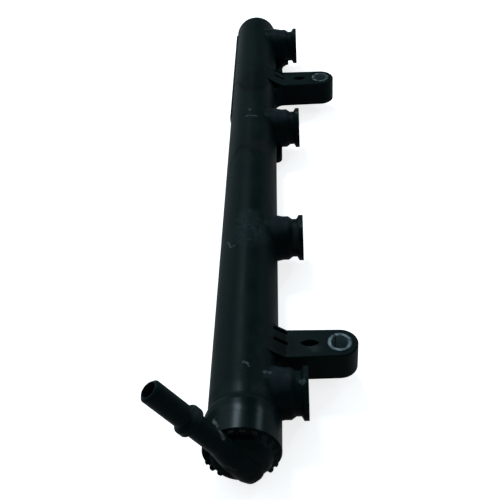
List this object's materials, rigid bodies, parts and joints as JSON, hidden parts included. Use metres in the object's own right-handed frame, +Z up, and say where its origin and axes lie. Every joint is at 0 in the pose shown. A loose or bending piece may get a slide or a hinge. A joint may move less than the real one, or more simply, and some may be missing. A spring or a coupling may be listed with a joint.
{
  "type": "fuel rail",
  "caption": "Moulded plastic fuel rail: tapered tube with injector cups, bolt arms with steel bushes, and a welded elbow inlet with a beaded quick-connect spigot.",
  "frame": {"origin": "midway between the two bolt holes, on the plane where the steel bushes seat on the engine", "axes": "+Z up the bolts, +X towards the injectors, +Y along the rail towards its closed end"},
  "size_m": [0.0698, 0.3038, 0.0519],
  "materials": {
    "rail_plastic": "glass-filled nylon, as moulded, satin, scuffed by handling",
    "cap_plastic": "glass-filled nylon, as moulded, satin",
    "bush_steel": "rolled steel, zinc plated"
  },
  "bodies": {
    "root": {"rail_body": "rail_plastic", "inlet_cap": "cap_plastic", "rear_bolt_bush": "bush_steel", "front_bolt_bush": "bush_steel"}
  },
  "joints": []
}
